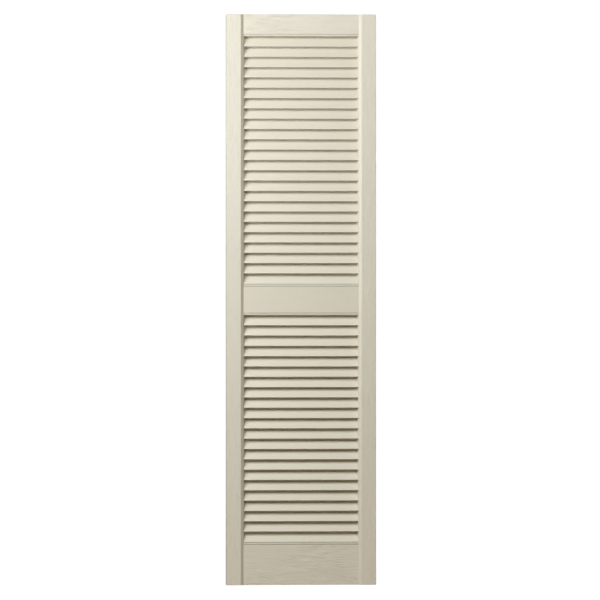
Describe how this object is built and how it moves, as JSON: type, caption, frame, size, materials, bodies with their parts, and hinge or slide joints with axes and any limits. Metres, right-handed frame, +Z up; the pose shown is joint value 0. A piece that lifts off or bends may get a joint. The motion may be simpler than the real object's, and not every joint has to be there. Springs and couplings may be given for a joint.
{
  "type": "louvred shutter panel",
  "caption": "Tall moulded exterior shutter panel: fixed sloping louvres between plain stiles and top, middle and bottom rails, with hidden screw bosses at the back.",
  "frame": {"origin": "centre of the four corner screw bosses, on the back plane that lies against the wall", "axes": "+Z up the panel, +Y into the wall, so the face looks towards -Y; +X to the viewer's right when the face is seen"},
  "size_m": [0.3682, 0.03, 1.397],
  "materials": {
    "shutter_skin": "almond polypropylene, satin, moulded with a fine woodgrain"
  },
  "bodies": {
    "root": {"shutter_panel": "shutter_skin"}
  },
  "joints": []
}
